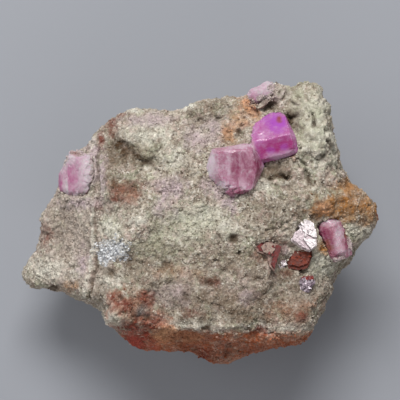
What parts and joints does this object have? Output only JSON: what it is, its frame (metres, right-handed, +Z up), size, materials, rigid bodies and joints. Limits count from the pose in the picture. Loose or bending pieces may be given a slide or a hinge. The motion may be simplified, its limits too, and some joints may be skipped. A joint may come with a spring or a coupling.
{
  "type": "pink crystal specimen in matrix",
  "caption": "Hand-sized mineral specimen: translucent violet and pink six-sided crystals and small mica books set in a pale, granular, rust-stained rock, lying on its back.",
  "frame": {"origin": "middle of the specimen's box, on the surface that it rests on", "axes": "+Z up out of the side with the crystals, +X along the longest side to the right-hand end, +Y to the upper edge"},
  "size_m": [0.13, 0.1028, 0.0626],
  "materials": {
    "matrix": "rough broken surface",
    "violet_crystal": "vitreous, translucent",
    "rose_crystal": "vitreous, translucent",
    "pale_crystal": "vitreous, sugary",
    "silver_mica": "pearly cleavage sheets",
    "brown_mica": "glossy cleavage sheets"
  },
  "bodies": {
    "root": {"matrix": "matrix", "crystal_pair": "violet_crystal", "right_crystal": "rose_crystal", "left_crystal": "pale_crystal", "top_crystal": "pale_crystal", "silver_mica": "silver_mica", "brown_mica": "brown_mica", "red_mica": "brown_mica", "flake_mica": "silver_mica", "violet_mica": "silver_mica"}
  },
  "joints": []
}
